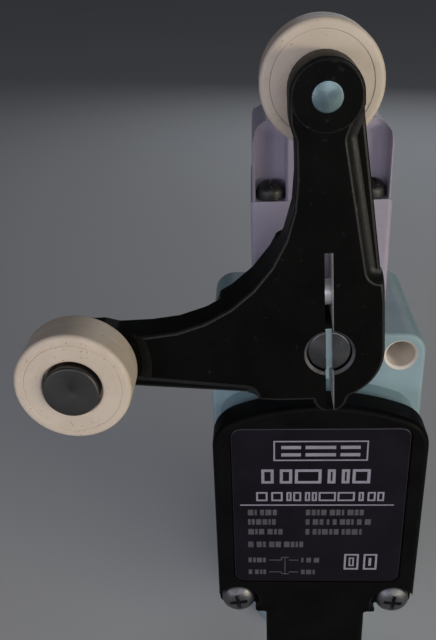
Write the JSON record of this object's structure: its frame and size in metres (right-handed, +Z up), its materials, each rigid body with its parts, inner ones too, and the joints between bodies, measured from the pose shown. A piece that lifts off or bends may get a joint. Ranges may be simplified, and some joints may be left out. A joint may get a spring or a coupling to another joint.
{
  "type": "limit switch",
  "caption": "Housed limit switch with a latching fork lever: a roller on the front of one arm and on the back of the other, working contacts through a cam and plunger.",
  "frame": {"origin": "middle of the four mounting holes on the rear face", "axes": "+X to the right and +Z up seen from the cover side, +Y to the back"},
  "size_m": [0.0663, 0.0581, 0.1334],
  "materials": {
    "housing": "satin grey paint on die casting",
    "head": "satin grey paint on die casting",
    "cover": "fine textured black paint",
    "nameplate": "anodised, printed",
    "lever": "satin black",
    "roller_nylon": "cream nylon",
    "shaft_steel": "turned",
    "pin_steel": "turned",
    "zinc_steel": "zinc plated",
    "dark_screw": "black oxide",
    "spring_steel": "drawn wire",
    "sintered_bronze": "sintered",
    "black_rubber": "moulded",
    "brown_plastic": "moulded phenolic",
    "cream_plastic": "moulded",
    "red_plastic": "moulded",
    "contact_brass": "stamped",
    "contact_silver": "silver contact"
  },
  "bodies": {
    "body": {"housing": "housing", "cover": "cover", "cover_gasket": "black_rubber", "cover_screws": "zinc_steel", "nameplate": "nameplate", "head": "head", "head_gasket": "black_rubber", "head_screws": "dark_screw", "front_bush": "sintered_bronze", "rear_bush": "sintered_bronze", "shaft_seal": "black_rubber", "stop_pin": "zinc_steel", "plunger_guide": "sintered_bronze", "plunger_spring": "spring_steel", "switch_base": "brown_plastic", "switch_case": "cream_plastic", "switch_screws": "zinc_steel", "terminals": "contact_brass", "terminal_screws": "zinc_steel", "fixed_contacts": "contact_silver", "earth_screw": "contact_brass", "carrier_spring": "spring_steel"},
    "rotor": {"fork_lever": "lever", "shaft": "shaft_steel", "clamp_bolt": "dark_screw", "cam": "zinc_steel", "cam_pin": "zinc_steel", "shaft_clip": "spring_steel", "front_roller_pin": "pin_steel", "rear_roller_pin": "pin_steel", "front_washer": "zinc_steel", "rear_washer": "zinc_steel"},
    "front_roller_body": {"front_roller": "roller_nylon"},
    "rear_roller_body": {"rear_roller": "roller_nylon"},
    "plunger_body": {"plunger": "zinc_steel", "plunger_seal": "black_rubber"},
    "carrier_body": {"contact_carrier": "red_plastic", "moving_contacts": "contact_brass"}
  },
  "joints": [
    {"name": "lever_turn", "type": "hinge", "parent": "body", "child": "rotor", "pos_m": [0, -0.029, 0.04185], "axis": [0, 1, 0], "range_deg": [0, 90]},
    {"name": "front_roller_spin", "type": "hinge", "parent": "rotor", "child": "front_roller_body", "pos_m": [-0.03797, -0.0535, 0.04039], "axis": [0, 1, 0], "continuous": true},
    {"name": "rear_roller_spin", "type": "hinge", "parent": "rotor", "child": "rear_roller_body", "pos_m": [-0.00146, -0.0383, 0.07982], "axis": [0, 1, 0], "continuous": true},
    {"name": "plunger_slide", "type": "slide", "parent": "body", "child": "plunger_body", "axis": [0, 0, -1], "range_m": [0, 0.00158], "deforming": ["plunger_spring"]},
    {"name": "carrier_slide", "type": "slide", "parent": "body", "child": "carrier_body", "axis": [0, 0, -1], "range_m": [0, 0.00158], "deforming": ["carrier_spring"]}
  ],
  "couplings": [
    {"joint": "plunger_slide", "follows": "lever_turn", "m_per_rad": 0.001},
    {"joint": "carrier_slide", "follows": "lever_turn", "m_per_rad": 0.001}
  ]
}
